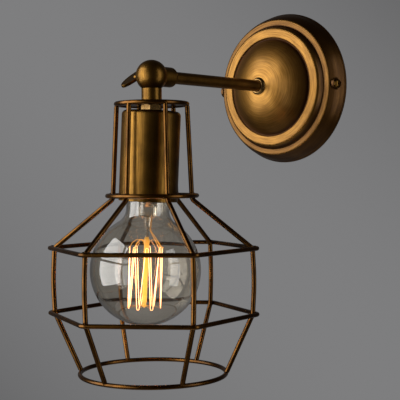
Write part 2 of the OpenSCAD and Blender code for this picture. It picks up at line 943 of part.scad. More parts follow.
// Sprung centre contact: a leaf folded back under its fixed end
module holder_contact() {
    leaf = [
        [chamber_r * 0.7, contact_z - seat, 0], [-chamber_r * 0.6, contact_z - seat, 0.6],
        [-chamber_r * 0.66, contact_z - tip_l * 0.3, 0.6],
        [-chamber_r * 0.2, -bulb_top_z + seat, 1], [chamber_r / 4, -bulb_top_z + seat, 0]
    ];
    color(brass)
        on_lamp()
            rotate([90, 0, 0])
                translate([0, 0, -3])
                    linear_extrude(6)
                        polygon(concat(rounded(leaf), reversed(rounded(side_step(leaf, 0.4)))));
}

module holder_screws() {
    color(brass)
        on_lamp()
            for (s = [-1, 1])
                translate([s * terminal_x, 0, -holder_split_z + 2 + slip])
                    pan_screw(3, 5.6, 2, 4.8);
}

// Neck, shoulder and globe of the bulb, as an outline moved in by t
function glass_line(t) =
    let (fz = shoulder_z - 1.5, nr = neck_glass_r - t, gr = globe_r - t)
    let (fr = (fz * fz - gr * gr + nr * nr) / 2 / (gr - nr), fx = nr + fr, a = atan2(fz, fx))
    concat(
        [[0, neck_top + 5 - t], [cap_r - glass_gap - t, neck_top + 5 - t]],
        [[cap_r - glass_gap + 0.4 - t, shoulder_z - t / 2], [nr - 0.5, shoulder_z - 1.4 - t / 2]],
        arc([fx, fz], fr, 184, 180 + a, 8),
        arc([0, 0], gr, a - 4, -90, 28)
    );

module bulb_glass() {
    color(clear_glass)
        on_lamp()
            translate([0, 0, -globe_z])
                difference() {
                    rotate_extrude()
                        polygon(glass_line(0));
                    rotate_extrude()
                        polygon(glass_line(glass_wall));
                }
}

module bulb_cap() {
    color(brass)
        on_lamp()
            difference() {
                translate([0, 0, -cap_end_z])
                    rotate_extrude()
                        polygon(rounded([
                            [0, 0, 0], [cap_r - 0.2, 0, 0], [cap_r, 1.5, 0.4], [cap_r, cap_l - cap_step, 1],
                            [cap_r - cap_step, cap_l, 0], [0, cap_l, 0]
                        ]));
                translate([0, 0, -cap_end_z - eps])
                    rotate_extrude()
                        polygon([
                            [0, 0], [cap_r - cap_wall, 0], [cap_r - cap_wall, cap_l - cap_step - 0.2],
                            [cap_r - cap_step - 0.2, cap_l - cap_wall], [0, cap_l - cap_wall]
                        ]);
                translate([0, 0, -cap_end_z])
                    cylinder(r = insulator_r, h = 2 * cap_l);
            }
}

module bulb_insulator() {
    color(black_plastic)
        on_lamp()
            translate([0, 0, -cap_top_z])
                rotate_extrude()
                    polygon([
                        [0, -0.4], [insulator_r - slip, -0.4], [insulator_r - slip, 0], [insulator_r * 1.2, slip],
                        [contact_r + 0.6, tip_l - 1], [0, tip_l - 1]
                    ]);
}

module bulb_contact() {
    color(steel)
        on_lamp()
            translate([0, 0, -bulb_top_z - 1])
                rotate_extrude()
                    polygon(rounded([
                    [0, 0, 0], [contact_r, 0, 0], [contact_r - 0.2, 0.6, 0.3], [contact_r / 2, 1, 0.5], [0, 1, 0]
                ]));
}

// Glass stem: a flared tube pressed shut round the leads, with the rod that carries the filament
module bulb_stem() {
    flare_r = cap_r - glass_gap - glass_wall - seat;
    line = [
        [flare_r, stem_top, 0], [flare_r - 0.6, stem_top - 1.5, 1], [press_r + 0.6, stem_top - 7, 5],
        [press_r, press_z, 1], [2, press_z, 0.5], [2, press_z - stem_span * 0.23, 0.8], [rod_r, press_z - stem_span * 0.29, 0.5],
        [rod_r, bead_z + 2, 0.5], [bead_r, bead_z, 1], [rod_r, bead_z - 2, 0.5],
        [rod_r, 3 - filament_low, 0.4], [bead_r - 0.4, 1.5 - filament_low, 0.8], [0, -filament_low, 0]
    ];
    hollow = [[0, press_z + 5], [press_r - 1.4, press_z + 6], [press_r - 0.6, stem_top - 6], [flare_r - 1.6, stem_top]];
    color(clear_glass)
        on_lamp()
            translate([0, 0, -globe_z])
                rotate_extrude()
                    polygon(concat(rounded(line, 4), hollow));
}

// Angle of the filament's turn i, the first and last being its ends
function turn_angle(i) = lead_turn + i * 360 / (strand_n + 1);

// Hooked wires that hold the filament's turns, fused in the beads of the rod
module filament_supports() {
    color(steel)
        on_lamp()
            translate([0, 0, -globe_z])
                for (i = [1 : strand_n - 1])
                    rotate([0, 0, turn_angle(i)])
                        swept(i % 2 == 0 ? upper_hook : lower_hook, hook_d, 6);
}

hook_drop = (strand_d + hook_d) / 2 + slip;
upper_hook = [
    [bead_r + seat, 0, bead_z], [filament_r - 3, 0, filament_top - hook_drop + 1.6],
    [filament_r - 1, 0, filament_top - hook_drop], [filament_r + 1.2, 0, filament_top - hook_drop]
];
lower_hook = [
    [bead_r - 0.4 + seat, 0, 1.6 - filament_low], [filament_r - 1, 0, hook_drop - filament_low],
    [filament_r + 1.2, 0, hook_drop - filament_low]
];

module bulb_leads() {
    lead = [
        [3.4, 0, press_z - seat], [3.2, 0, press_z - 6], [2.6, 0, press_z - 11],
        [filament_r - 0.5, 0, filament_top + lead_d / 2 + slip], [filament_r + 0.7, 0, filament_top + lead_d / 2 + slip]
    ];
    color(steel)
        on_lamp()
            translate([0, 0, -globe_z])
                for (i = [0, strand_n])
                    rotate([0, 0, turn_angle(i)])
                        swept(lead, lead_d, 8);
}

// One coiled wire led up and down round a cylinder, laid out flat and then wrapped
module filament() {
    step = 2 * PI * filament_r / (strand_n + 1);
    flat = concat(
        [[0, filament_top - slip]],
        [
            for (i = [1 : strand_n - 1])
            each (i % 2 == 0 ? arc([i * step, filament_top - turn_r], turn_r, 180, 0, 4) :
                arc([i * step, turn_r - filament_low], turn_r, 180, 360, 4))
        ],
        [[strand_n * step, filament_top - slip]]
    );
    color(tungsten)
        on_lamp()
            translate([0, 0, -globe_z])
                swept([
                    for (q = flat)
                    let (a = lead_turn + q[0] / filament_r * 180 / PI)
                    [filament_r * cos(a), filament_r * sin(a), q[1]]
                ], strand_d, 6);
}

// Lamp cable from the terminal block to the joint face, measured from the ball's centre
arm_route = concat([
    [block_x + block_w / 2 - 1, reach - strap_t - 4, 0], [block_x + block_w / 2 + 2, reach - strap_t - 4.2, 0],
    [-4.4, reach - 9, 0], [-1.6, reach - 15, 0], [0, reach - 22, 0], [0, reach - 32, 0], [0, reach * 0.58, 0],
    [0, reach * 0.38, 0], [0, collar_l, 0]
], ball_r * [[0.053, 1.053, 0], [0.053, 0.807, 0], [0.01, 0.632, 0], [-0.079, 0.535, 0]], [
    [arm_face + 0.5, ball_r * 0.526, 0], [arm_face + 0.1, ball_r * 0.526, 0]
]);
// The same cable from the joint face down into the lamp holder
head_route = concat([
    [lamp_face - 0.1, ball_r * 0.526, 0], [lamp_face - 0.5, ball_r * 0.526, 0]
], ball_r * [
    [-0.342, 0.509, -0.053], [-0.412, 0.456, -0.175], [-0.421, 0.368, -0.342], [-0.421, 0.219, -0.474],
    [-0.412, 0.07, -0.57], [-0.404, 0.01, -0.702], [-0.404, 0, -0.921], [-0.386, 0, -1.14], [-0.281, 0, -1.316],
    [-0.149, 0, -1.482], [-0.044, 0, -1.711]
], [
    for (depth = [nut_top_z + 3.1, holder_top_z + 0.5, holder_top_z + 7.5, holder_split_z - 4.5, holder_split_z + 2.5])
    lamp_axis(depth)
]);

module arm_cable() {
    color(black_plastic)
        at_ball()
            swept(spline(arm_route, 2), cable_d, 8);
}

module head_cable() {
    color(black_plastic)
        at_ball()
            swept(spline(head_route, 2), cable_d, 8);
}

// Ring of an eyelet on Z = 0 with its leg bent up along Z
module eyelet(r_in, r_out) {
    difference() {
        union() {
            cylinder(r = r_out, h = eyelet_t);
            translate([0, -leg_w / 2, 0])
                cube([r_out + leg_gap, leg_w, eyelet_t]);
            translate([r_out + leg_gap - eyelet_t, -leg_w / 2, 0])
                cube([eyelet_t, leg_w, leg_h]);
        }
        translate([0, 0, -eps])
            cylinder(r = r_in, h = eyelet_t + 2 * eps);
    }
}

// Eyelets of the earth lead, one under the earth screw and one under the arm's lock nut
module earth_eyelets() {
    color(steel) {
        translate([earth_x, -strap_t - slip, 0])
            off_wall()
                eyelet(earth_screw_d / 2 + slip, screw_eyelet_r);
        translate([0, -arm_eyelet_y, 0])
            rotate([-90, 0, 0])
                eyelet(arm_r + slip, arm_eyelet_r);
    }
}

module earth_lead() {
    low = [earth_x + screw_eyelet_r + leg_gap - eyelet_t / 2, -strap_t - slip - leg_h - slip, 0];
    high = [arm_eyelet_r + leg_gap - eyelet_t / 2, -arm_eyelet_y + leg_h + slip, 0];
    color(earth_green)
        swept(spline([
            low, low - [0, 1.5, 0], low + [0.3, -4, 1.5], low + [-1.5, -6.5, 4], (low + high) / 2 + [0, 0, 5],
            high + [1.5, 5, 4], high + [0.3, 3, 1], high + [0, 1.5, 0], high
        ], 2), earth_d, 8);
}

wall_bracket();
bracket_tabs();
earth_screw();
terminal_block();
terminal_screws();
backplate();
cover_screws();
arm_tube();
arm_ferrule();
arm_washer();
arm_nut();
arm_cable();
earth_eyelets();
earth_lead();
ball_arm_half();
ball_lamp_half();
friction_washer();
spring_washer();
thumb_screw();
threaded_tube();
cage_disc();
ring(top_r, top_z);  // cage_top_ring
cage_nut();
ring(neck_ring_r, neck_z);  // cage_neck_ring
hexagon(upper_z);  // cage_upper_hexagon
hexagon(lower_z);  // cage_lower_hexagon
ring(bottom_r, bottom_z);  // cage_bottom_ring
for (i = [0 : wire_n - 1])
    cage_wire(i);
lamp_cup();
cup_nut();
holder_cap();
holder_body();
holder_shell();
holder_contact();
holder_screws();
head_cable();
bulb_glass();
bulb_cap();
bulb_insulator();
bulb_contact();
bulb_stem();
filament_supports();
bulb_leads();
filament();
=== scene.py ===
# Looks of the caged wall light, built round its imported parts
import math

import bmesh
import bpy
from mathutils import Matrix, Vector


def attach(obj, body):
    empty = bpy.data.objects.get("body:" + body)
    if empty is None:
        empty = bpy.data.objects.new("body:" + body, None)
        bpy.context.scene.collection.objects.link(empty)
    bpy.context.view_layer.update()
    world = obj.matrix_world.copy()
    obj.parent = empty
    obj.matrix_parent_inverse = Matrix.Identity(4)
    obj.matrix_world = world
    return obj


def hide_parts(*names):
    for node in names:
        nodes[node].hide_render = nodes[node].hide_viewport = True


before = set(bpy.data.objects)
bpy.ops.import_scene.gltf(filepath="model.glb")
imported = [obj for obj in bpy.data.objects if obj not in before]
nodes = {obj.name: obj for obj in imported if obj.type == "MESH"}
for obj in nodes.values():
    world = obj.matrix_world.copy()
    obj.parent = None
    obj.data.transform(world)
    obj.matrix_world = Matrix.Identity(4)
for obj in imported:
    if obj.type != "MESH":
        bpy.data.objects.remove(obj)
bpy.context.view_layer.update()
bpy.ops.object.select_all(action="DESELECT")
bpy.context.scene.view_settings.view_transform = "Standard"
print("frame loaded:", len(nodes), "nodes")

mm = 0.001


def linear(hexColour):
    # sRGB hex to the linear RGBA that the shaders take
    values = [int(hexColour[i : i + 2], 16) / 255 for i in (1, 3, 5)]
    return [v / 12.92 if v <= 0.04045 else ((v + 0.055) / 1.055) ** 2.4 for v in values] + [1]


# Camera, at the place that the photograph was taken from
cameraSetup = {
    "place": (519.07, -670.9, -71.35),  # mm
    "azimuth": 42.54,  # degrees, 0 looks along +Y
    "pitch": -1.41,
    "roll": -0.28,
    "lens": 91.4,
    "sensor": 36,
    "nearest": 20,  # nothing closer than this is drawn, mm
}


def makeCamera(s):
    a, p, r = (math.radians(s[k]) for k in ("azimuth", "pitch", "roll"))
    ahead = Vector((-math.sin(a) * math.cos(p), math.cos(a) * math.cos(p), math.sin(p)))
    level = Vector((math.cos(a), math.sin(a), 0))
    up = level.cross(ahead)
    right = level * math.cos(r) + up * math.sin(r)
    top = up * math.cos(r) - level * math.sin(r)
    data = bpy.data.cameras.new("camera")
    data.lens = s["lens"]
    data.sensor_width = s["sensor"]
    data.clip_start = s["nearest"] * mm
    camera = bpy.data.objects.new("camera", data)
    turn = Matrix((right, top, -ahead)).transposed().to_4x4()
    camera.matrix_world = Matrix.Translation(Vector(s["place"]) * mm) @ turn
    bpy.context.collection.objects.link(camera)
    bpy.context.scene.camera = camera
    return right, top, -ahead


viewRight, viewUp, viewBack = makeCamera(cameraSetup)
print("camera set")

# A tall bright softbox at the left, a dim one nearer the camera and a slim one at the right
lampCentre = Vector((0, -110, -80)) * mm
softboxes = {  # turn and rise from the camera in degrees, distance and size in m, power in W
    "left_softbox": {"turn": -76, "rise": 11, "away": 1.25, "width": 1.3, "height": 1.75, "power": 21},
    "front_softbox": {"turn": -44, "rise": -3, "away": 1.5, "width": 0.9, "height": 1.3, "power": 5.2},
    "right_softbox": {"turn": 64, "rise": 4, "away": 1.25, "width": 0.5, "height": 1.6, "power": 3.6},
}


def makeSoftbox(name, s):
    turn, rise = math.radians(s["turn"]), math.radians(s["rise"])
    flat = viewBack * math.cos(turn) + viewRight * math.sin(turn)
    toward = flat * math.cos(rise) + viewUp * math.sin(rise)
    data = bpy.data.lights.new(name, "AREA")
    data.shape = "RECTANGLE"
    data.size, data.size_y = s["width"], s["height"]
    data.energy = s["power"]
    light = bpy.data.objects.new(name, data)
    side = viewUp.cross(toward).normalized()
    facing = Matrix((side, toward.cross(side), toward)).transposed().to_4x4()
    light.matrix_world = Matrix.Translation(lampCentre + toward * s["away"]) @ facing
    light.visible_camera = False
    bpy.context.collection.objects.link(light)


for name, setup in softboxes.items():
    makeSoftbox(name, setup)
print("softboxes placed:", len(softboxes))


def addNode(tree, kind, inputs=None, stops=(), **settings):
    # one node with its settings, its colour stops if it is a ramp, and its inputs as values or as links
    node = tree.nodes.new(kind)
    for key, value in settings.items():
        setattr(node, key, value)
    for _ in stops[2:]:
        node.color_ramp.elements.new(0.5)
    for i, (place, level) in enumerate(stops):
        node.color_ramp.elements[i].position = place
        node.color_ramp.elements[i].color = (level, level, level, 1)
    for key, value in (inputs or {}).items():
        if isinstance(value, bpy.types.NodeSocket):
            tree.links.new(value, node.inputs[key])
        else:
            node.inputs[key].default_value = value
    return node


# A Mix node takes its two colours at 6 and 7 and gives the mixed one at 2
mixedColour = 2

# Grey studio paper behind the light, with painted shade that darkens it towards two opposite corners of the
# view, and a dim room round it
backdrop = {
    "paper": "#7e7e7f",
    "falloff": 4.3,
    "darkest": 0.6,
    "room": "#1e1c1a",
    "ambient": "#4c4a48",
    "paperEdges": (0.4, 1.0),  # how straight behind the paper starts and is full, as the metal mirrors it
    "mirrored": 0.45,
}


def makeWorld(s):
    world = bpy.data.worlds.new("studio")
    bpy.context.scene.world = world
    world.use_nodes = True
    tree = world.node_tree
    tree.nodes.clear()
    way = addNode(tree, "ShaderNodeTexCoord").outputs["Generated"]
    # painted shade: the paper darkens towards both ends of the view's diagonal, no lower than the darkest level
    diagonal = (viewRight + viewUp).normalized()
    across = addNode(
        tree, "ShaderNodeVectorMath", {0: way, 1: diagonal}, operation="DOT_PRODUCT"
    ).outputs["Value"]
    square = addNode(tree, "ShaderNodeMath", {0: across, 1: across}, operation="MULTIPLY").outputs[0]
    fall = addNode(
        tree, "ShaderNodeMath", {0: square, 1: -s["falloff"], 2: 1.0}, operation="MULTIPLY_ADD"
    ).outputs[0]
    level = addNode(tree, "ShaderNodeMath", {0: fall, 1: s["darkest"]}, operation="MAXIMUM").outputs[0]
    paper = addNode(
        tree,
        "ShaderNodeMix",
        {"Factor": level, 6: (0, 0, 0, 1), 7: linear(s["paper"])},
        data_type="RGBA",
    ).outputs[mixedColour]
    ahead = addNode(
        tree, "ShaderNodeVectorMath", {0: way, 1: -viewBack}, operation="DOT_PRODUCT"
    ).outputs["Value"]
    behind = addNode(
        tree,
        "ShaderNodeMapRange",
        {
            "Value": ahead,
            "From Min": s["paperEdges"][0],
            "From Max": s["paperEdges"][1],
            "To Max": s["mirrored"],
        },
    ).outputs[0]
    room = addNode(
        tree, "ShaderNodeMix", {"Factor": behind, 6: linear(s["room"]), 7: paper}, data_type="RGBA"
    ).outputs[mixedColour]
    path = addNode(tree, "ShaderNodeLightPath").outputs
    seen = addNode(
        tree,
        "ShaderNodeMath",
        {0: path["Is Camera Ray"], 1: path["Is Transmission Ray"]},
        operation="MAXIMUM",
    ).outputs[0]
    ambient = addNode(
        tree,
        "ShaderNodeMix",
        {"Factor": path["Is Glossy Ray"], 6: linear(s["ambient"]), 7: room},
        data_type="RGBA",
    ).outputs[mixedColour]
    colour = addNode(
        tree, "ShaderNodeMix", {"Factor": seen, 6: ambient, 7: paper}, data_type="RGBA"
    ).outputs[mixedColour]
    background = addNode(tree, "ShaderNodeBackground", {"Color": colour}).outputs[0]
    addNode(tree, "ShaderNodeOutputWorld", {"Surface": background})


makeWorld(backdrop)
print("backdrop hung")


def holdAlone(piece):
    # leaves edit mode, then selects this piece and nothing else
    if bpy.context.mode != "OBJECT":
        bpy.ops.object.mode_set(mode="OBJECT")
    bpy.ops.object.select_all(action="DESELECT")
    piece.select_set(True)
    bpy.context.view_layer.objects.active = piece


def begin(name, shape, **size):
    # a primitive at its size and place, selected alone and open for editing
    if bpy.context.mode != "OBJECT":
        bpy.ops.object.mode_set(mode="OBJECT")
    bpy.ops.object.select_all(action="DESELECT")
    getattr(bpy.ops.mesh, "primitive_" + shape + "_add")(**size)
    piece = bpy.context.object
    piece.name = piece.data.name = name
    bpy.ops.object.mode_set(mode="EDIT")
    bpy.ops.mesh.select_mode(type="VERT")
    return piece


def copyOf(piece, name):
    # another one of a shaped piece, with its own mesh
    holdAlone(piece)
    bpy.ops.object.duplicate()
    other = bpy.context.object
    other.name = other.data.name = name
    return other


def pick(piece, test, kind="VERT"):
    # selects the vertices, edges or faces whose middle, in mm, passes the test
    bpy.ops.mesh.select_mode(type=kind)
    bpy.ops.mesh.select_all(action="DESELECT")
    shape = bmesh.from_edit_mesh(piece.data)
    for part in {"VERT": shape.verts, "EDGE": shape.edges, "FACE": shape.faces}[kind]:
        corners = [part] if kind == "VERT" else part.verts
        if test(sum((v.co for v in corners), Vector()) / len(corners) / mm):
            part.select_set(True)
    shape.select_flush_mode()
    bmesh.update_edit_mesh(piece.data)


touching = 0.01  # closer than this is the same place, mm


def drawLine(name, points, closed=False):
    # a plane merged to one vertex and extruded from point to point, in mm
    piece = begin(name, "plane", size=mm)
    bpy.ops.mesh.merge(type="CENTER")
    bpy.ops.transform.translate(value=Vector(points[0]) * mm)
    for a, b in zip(points, points[1:]):
        step = (Vector(b) - Vector(a)) * mm
        bpy.ops.mesh.extrude_region_move(TRANSFORM_OT_translate={"value": step})
    if closed:
        ends = Vector(points[0]), Vector(points[-1])
        pick(piece, lambda p: min((p - e).length for e in ends) < touching)
        bpy.ops.mesh.edge_face_add()
    return piece


def roundCorner(piece, point, cut, segments=6):
    # rounds one corner of a line, cutting this many mm from both its edges
    pick(piece, lambda p: (p - Vector(point)).length < touching)
    bpy.ops.mesh.bevel(offset=cut * mm, segments=segments, affect="VERTICES")


def cleanMesh():
    bpy.ops.mesh.select_all(action="SELECT")
    bpy.ops.mesh.remove_doubles(threshold=mm * mm)
    bpy.ops.mesh.normals_make_consistent(inside=False)


def spinLine(name, outline, steps=96, closed=False):
    # an outline of (radius, height, corner cut) in mm, spun about Z
    piece = drawLine(name, [(c[0], 0, c[1]) for c in outline], closed)
    for c in outline:
        if len(c) > 2:
            roundCorner(piece, (c[0], 0, c[1]), c[2])
    bpy.ops.mesh.select_all(action="SELECT")
    bpy.ops.mesh.spin(steps=steps, angle=2 * math.pi, center=(0, 0, 0), axis=(0, 0, 1))
    cleanMesh()
    return piece


def thicken(piece, wall):
    # gives an outer skin its inner wall, in mm
    bpy.ops.object.mode_set(mode="OBJECT")
    skin = piece.modifiers.new("wall", "SOLIDIFY")
    skin.thickness, skin.offset = wall * mm, -1
    bpy.ops.object.modifier_apply(modifier=skin.name)
    bpy.ops.object.mode_set(mode="EDIT")


def carve(piece, tool, operation="DIFFERENCE"):
    # cuts a piece with a tool, or adds the tool to it, and throws the tool away
    holdAlone(piece)
    cut = piece.modifiers.new("carve", "BOOLEAN")
    cut.operation, cut.object, cut.solver = operation, tool, "EXACT"
    bpy.ops.object.modifier_apply(modifier=cut.name)
    bpy.data.objects.remove(tool)


def barAlong(piece, diameter, sides=6):
    # turns a drawn line into a round bar of this diameter in mm
    bpy.ops.object.mode_set(mode="OBJECT")
    bpy.ops.object.convert(target="CURVE")
    bar = bpy.context.object
    bar.data.bevel_depth = diameter / 2 * mm
    bar.data.bevel_resolution = sides
    bar.data.use_fill_caps = True
    bpy.ops.object.convert(target="MESH")
    bpy.ops.object.mode_set(mode="EDIT")
    cleanMesh()
    return bpy.context.object


def settle(piece, place=None, angle=35, evenly=False):
    # puts a shaped piece in its place, with the place in its mesh, and smooths it; evenly keeps flats flat
    holdAlone(piece)
    if place is not None:
        piece.matrix_world = place
    bpy.ops.object.transform_apply(location=True, rotation=True, scale=True)
    bpy.ops.object.shade_smooth_by_angle(angle=math.radians(angle))
    if evenly:
        normals = piece.modifiers.new("even", "WEIGHTED_NORMAL")
        normals.keep_sharp = True
        bpy.ops.object.modifier_apply(modifier=normals.name)
    return piece


def joinAll(name, pieces):
    holdAlone(pieces[0])
    for piece in pieces[1:]:
        piece.select_set(True)
    bpy.ops.object.join()
    pieces[0].name = pieces[0].data.name = name
    return pieces[0]


def fit(piece, body, slot, finishName, *standsFor):
    # gives a piece its finish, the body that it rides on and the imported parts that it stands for
    piece.data.materials.clear()
    piece.data.materials.append(finish[finishName])
    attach(piece, body)
    if standsFor:
        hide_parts(*standsFor)


def turned(axis, degrees):
    return Matrix.Rotation(math.radians(degrees), 4, axis)


def moved(x, y, z):
    return Matrix.Translation(Vector((x, y, z)) * mm)


def arcPoints(middle, radius, start, end, count):
    angles = [math.radians(start + (end - start) * i / count) for i in range(count + 1)]
    return [(middle[0] + radius * math.cos(a), middle[1] + radius * math.sin(a)) for a in angles]


def newMaterial(name):
    material = bpy.data.materials.new(name)
    material.use_nodes = True
    tree = material.node_tree
    tree.nodes.clear()
    return material, tree


def finishOff(tree, **shader):
    # the surface shader with its fixed values and links, joined to the output
    inputs = {key.replace("_", " "): value for key, value in shader.items()}
    surface = addNode(tree, "ShaderNodeBsdfPrincipled", inputs).outputs[0]
    addNode(tree, "ShaderNodeOutputMaterial", {"Surface": surface})


# Most of a noise lies between these two levels, and is spread from 0 to 1
noiseSpan = {"From Min": 0.35, "From Max": 0.65}


def brushedBronze(name, s):
    # antiqued bronze plating, brushed and lacquered: bright warm metal where rubbed, brown patina elsewhere, and
    # on the plate painted shade by radius
    material, tree = newMaterial(name)
    place = addNode(tree, "ShaderNodeTexCoord").outputs["Object"]
    if s["brush"] == "round":  # rings about the wall axis
        flat = addNode(
            tree, "ShaderNodeVectorMath", {0: place, 1: (1, 0, 1)}, operation="MULTIPLY"
        ).outputs[0]
        out = addNode(tree, "ShaderNodeVectorMath", {0: flat}, operation="LENGTH").outputs["Value"]
        lines = addNode(
            tree, "ShaderNodeMath", {0: out, 1: 1 / (s["line"] * mm)}, operation="MULTIPLY"
        ).outputs[0]
        drift = [1 / (s["drift"] * mm)] * 3
        slow = addNode(tree, "ShaderNodeVectorMath", {0: flat, 1: drift}, operation="MULTIPLY").outputs[0]
        parts = addNode(tree, "ShaderNodeSeparateXYZ", {0: slow}).outputs
        grain = addNode(tree, "ShaderNodeCombineXYZ", {0: parts[0], 1: lines, 2: parts[2]}).outputs[0]
    else:  # straight lines along one axis, or an even grain with no direction
        scale = [1 / (s["line"] * mm)] * 3
        if s["brush"] in "XYZ":
            scale["XYZ".index(s["brush"])] /= s["stretch"]
        grain = addNode(tree, "ShaderNodeMapping", {"Vector": place, "Scale": scale}).outputs[0]
    fine = addNode(tree, "ShaderNodeTexNoise", {"Vector": grain, "Scale": 1.0, "Detail": 3.0}).outputs[0]
    cloud = addNode(
        tree, "ShaderNodeTexNoise", {"Vector": place, "Scale": 1 / (s["cloud"] * mm), "Detail": 4.0}
    ).outputs[0]
    brushed = addNode(tree, "ShaderNodeMapRange", {"Value": fine, **noiseSpan}).outputs[0]
    clouded = addNode(tree, "ShaderNodeMapRange", {"Value": cloud, **noiseSpan}).outputs[0]
    stain = addNode(tree, "ShaderNodeMath", {0: clouded, 1: s["clouding"]}, operation="MULTIPLY").outputs[0]
    metal = addNode(
        tree,
        "ShaderNodeMix",
        {"Factor": brushed, 6: linear(s["low"]), 7: linear(s["high"])},
        data_type="RGBA",
    ).outputs[mixedColour]
    metal = addNode(
        tree, "ShaderNodeMix", {"Factor": stain, 6: metal, 7: linear(s["patina"])}, data_type="RGBA"
    ).outputs[mixedColour]
    if "patinaAndDomeShade" in s:  # patina by radius, dark in the grooves and rubbed off the ridges, and painted shade that darkens the dome from its middle out to its foot
        widest = s["patinaAndDomeShade"][-1][0]
        span = addNode(tree, "ShaderNodeMath", {0: out, 1: 1 / (widest * mm)}, operation="MULTIPLY").outputs[0]
        levels = [(r / widest, level) for r, level in s["patinaAndDomeShade"]]
        patinaAndShadeLevel = addNode(tree, "ShaderNodeValToRGB", {"Fac": span}, levels).outputs["Color"]
        metal = addNode(
            tree, "ShaderNodeMix", {"Factor": patinaAndShadeLevel, 6: metal, 7: linear(s["patina"])}, data_type="RGBA"
        ).outputs[mixedColour]
    rough = addNode(
        tree,
        "ShaderNodeMapRange",
        {"Value": brushed, "To Min": s["rough"] + 0.05, "To Max": s["rough"] - 0.05},
    ).outputs[0]
    bump = addNode(
        tree, "ShaderNodeBump", {"Height": fine, "Strength": s["relief"], "Distance": 0.05 * mm}
    ).outputs[0]
    finishOff(
        tree,
        Base_Color=metal,
        Metallic=1.0,
        Roughness=rough,
        Normal=bump,
        Coat_Weight=s["lacquer"],
        Coat_Roughness=s["sheen"],
    )
    return material


# Line is the width of a brush line and cloud the size of a stain, in mm. Real brush lines are 0.1 mm
# wide, too fine to show, so all are drawn coarser.
bronzes = {
    # rubbed bright on the rings, brown patina in the grooves, the dome bright at its middle and darkened down
    # its flanks by painted shade, and brushed round on a lathe
    "brushed_bronze_plate": {
        "brush": "round",
        "line": 0.6,
        "drift": 14.3,  # a brush line changes this slowly along its length, mm
        "cloud": 14,
        "low": "#976a28",
        "high": "#bf8b3f",
        "patina": "#3f2105",
        "clouding": 0.3,
        "rough": 0.42,
        "relief": 0.15,
        "lacquer": 0.25,
        "sheen": 0.3,
        "patinaAndDomeShade": [  # radius in mm and how far the metal is darkened there: painted shade down the dome out to 37 mm, patina in the grooves and on the rim
            (0, 0.0), (16, 0.0), (24, 0.2), (31.0, 0.5), (37.0, 0.7), (38.2, 0.95),
            (39.1, 1.0), (40.0, 0.7), (40.8, 0.3), (46.4, 0.3), (47.4, 0.2), (48.9, 0.8),
            (50.4, 0.95), (51.2, 0.7), (54.2, 0.65), (54.7, 0.3), (55.4, 0.85), (61.5, 0.8),
        ],
    },
    # the cup, ball and screws: brushed upright, darker and glossier than the plate
    "brushed_bronze_fittings": {
        "brush": "Z",
        "line": 0.6,
        "stretch": 60,  # a brush line is this many times as long as it is wide
        "cloud": 12,
        "low": "#76511a",
        "high": "#9c722d",
        "patina": "#1f1103",
        "clouding": 0.4,
        "rough": 0.36,
        "relief": 0.15,
        "lacquer": 0.15,
        "sheen": 0.3,
    },
    # the arm: drawn tube, brushed along its length
    "brushed_bronze_arm": {
        "brush": "Y",
        "line": 0.35,
        "stretch": 60,
        "cloud": 12,
        "low": "#7a541c",
        "high": "#9c7233",
        "patina": "#241504",
        "clouding": 0.45,
        "rough": 0.36,
        "relief": 0.15,
        "lacquer": 0.15,
        "sheen": 0.3,
    },
    # the cage: dark plated wire under clear lacquer, cloudy and without brush lines
    "lacquered_bronze_wire": {
        "brush": "even",
        "line": 12.0,
        "cloud": 30,
        "low": "#5f3c0f",
        "high": "#7f531b",
        "patina": "#190d02",
        "clouding": 0.5,
        "rough": 0.3,
        "relief": 0.05,
        "lacquer": 0.2,
        "sheen": 0.2,
    },
    # the ferrule and the nut: rubbed back to pale metal
    "rubbed_bronze_trim": {
        "brush": "Z",
        "line": 0.3,
        "stretch": 60,
        "cloud": 6,
        "low": "#96723c",
        "high": "#bb955c",
        "patina": "#4a2f12",
        "clouding": 0.3,
        "rough": 0.3,
        "relief": 0.1,
        "lacquer": 0.2,
        "sheen": 0.25,
    },
}


def plainFinish(name, s):
    # a moulded, plated or turned surface: one colour with a fine grain in colour, gloss and relief
    material, tree = newMaterial(name)
    place = addNode(tree, "ShaderNodeTexCoord").outputs["Object"]
    grain = addNode(
        tree, "ShaderNodeTexNoise", {"Vector": place, "Scale": 1 / (s["grain"] * mm), "Detail": 4.0}
    ).outputs[0]
    level = addNode(tree, "ShaderNodeMapRange", {"Value": grain, **noiseSpan}).outputs[0]
    colour = addNode(
        tree,
        "ShaderNodeMix",
        {"Factor": level, 6: linear(s["low"]), 7: linear(s["high"])},
        data_type="RGBA",
    ).outputs[mixedColour]
    rough = addNode(
        tree,
        "ShaderNodeMapRange",
        {
            "Value": grain,
            "From Min": 0.3,
            "From Max": 0.7,
            "To Min": s["rough"] - 0.06,
            "To Max": s["rough"] + 0.06,
        },
    ).outputs[0]
    bump = addNode(
        tree, "ShaderNodeBump", {"Height": grain, "Strength": 0.2, "Distance": s["relief"] * mm}
    ).outputs[0]
    finishOff(tree, Base_Color=colour, Metallic=s["metal"], Roughness=rough, Normal=bump)
    return material


